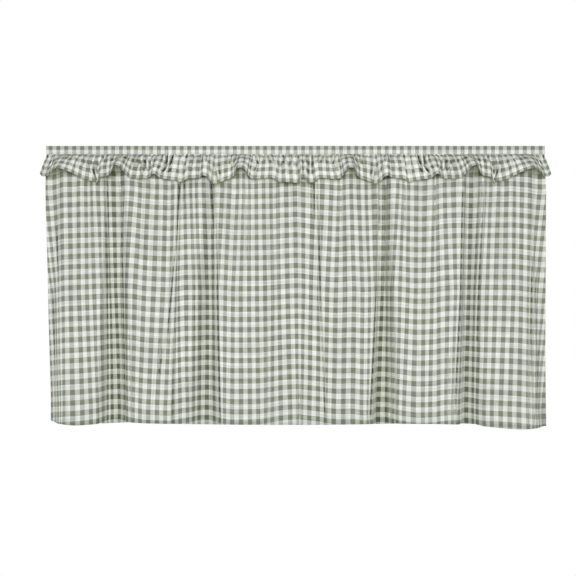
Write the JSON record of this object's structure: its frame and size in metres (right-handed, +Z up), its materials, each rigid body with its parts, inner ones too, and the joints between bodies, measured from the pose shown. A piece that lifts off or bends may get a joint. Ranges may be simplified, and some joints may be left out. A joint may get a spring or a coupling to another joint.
{
  "type": "cafe curtain",
  "caption": "Gingham cafe curtain: a flat heading band over a gathered ruffle and a panel that hangs in broad uneven folds.",
  "frame": {"origin": "middle of the heading's top edge, halfway between its front and back faces", "axes": "+X along the heading to the right as seen from the front, +Y from the front to the back, +Z up"},
  "size_m": [1.393, 0.1224, 0.7734],
  "materials": {
    "heading_cloth": "matt cotton gingham, sage green and white, small check",
    "ruffle_cloth": "matt cotton gingham, sage green and white, small check",
    "panel_cloth": "matt cotton gingham, sage green and white, large check"
  },
  "bodies": {
    "root": {"heading": "heading_cloth", "ruffle": "ruffle_cloth", "panel": "panel_cloth"}
  },
  "joints": []
}
